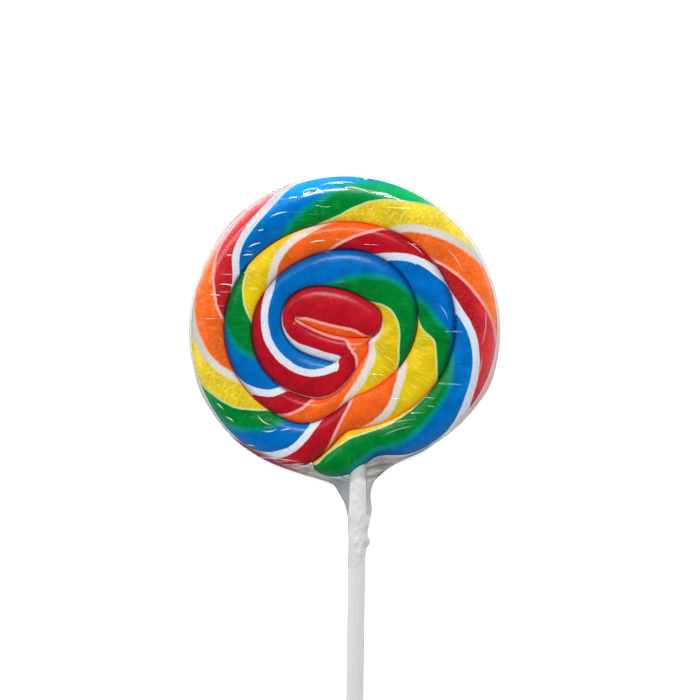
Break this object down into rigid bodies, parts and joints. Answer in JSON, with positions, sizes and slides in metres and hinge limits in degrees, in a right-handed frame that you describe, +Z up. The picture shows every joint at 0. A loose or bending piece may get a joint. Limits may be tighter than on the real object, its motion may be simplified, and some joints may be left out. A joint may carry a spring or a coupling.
{
  "type": "swirl lollipop",
  "caption": "Flat round lollipop of one striped candy rope coiled in a spiral, on a paper stick, in a clear film bag gathered round the stick.",
  "frame": {"origin": "on the resting plane, under the centre of the candy's round rim", "axes": "+Z up out of the shown face, +Y from the stick towards the top of the candy, +X to the right as the face is seen"},
  "size_m": [0.078, 0.2, 0.0091],
  "materials": {
    "candy_sugar": "smooth boiled sugar in blue, green, yellow, orange, red and white stripes that wind round the rope",
    "stick_paper": "tightly rolled white paper, matt",
    "clear_film": "thin clear film, glossy, creased where it is gathered"
  },
  "bodies": {
    "root": {"candy": "candy_sugar", "stick": "stick_paper", "wrapper": "clear_film"}
  },
  "joints": []
}
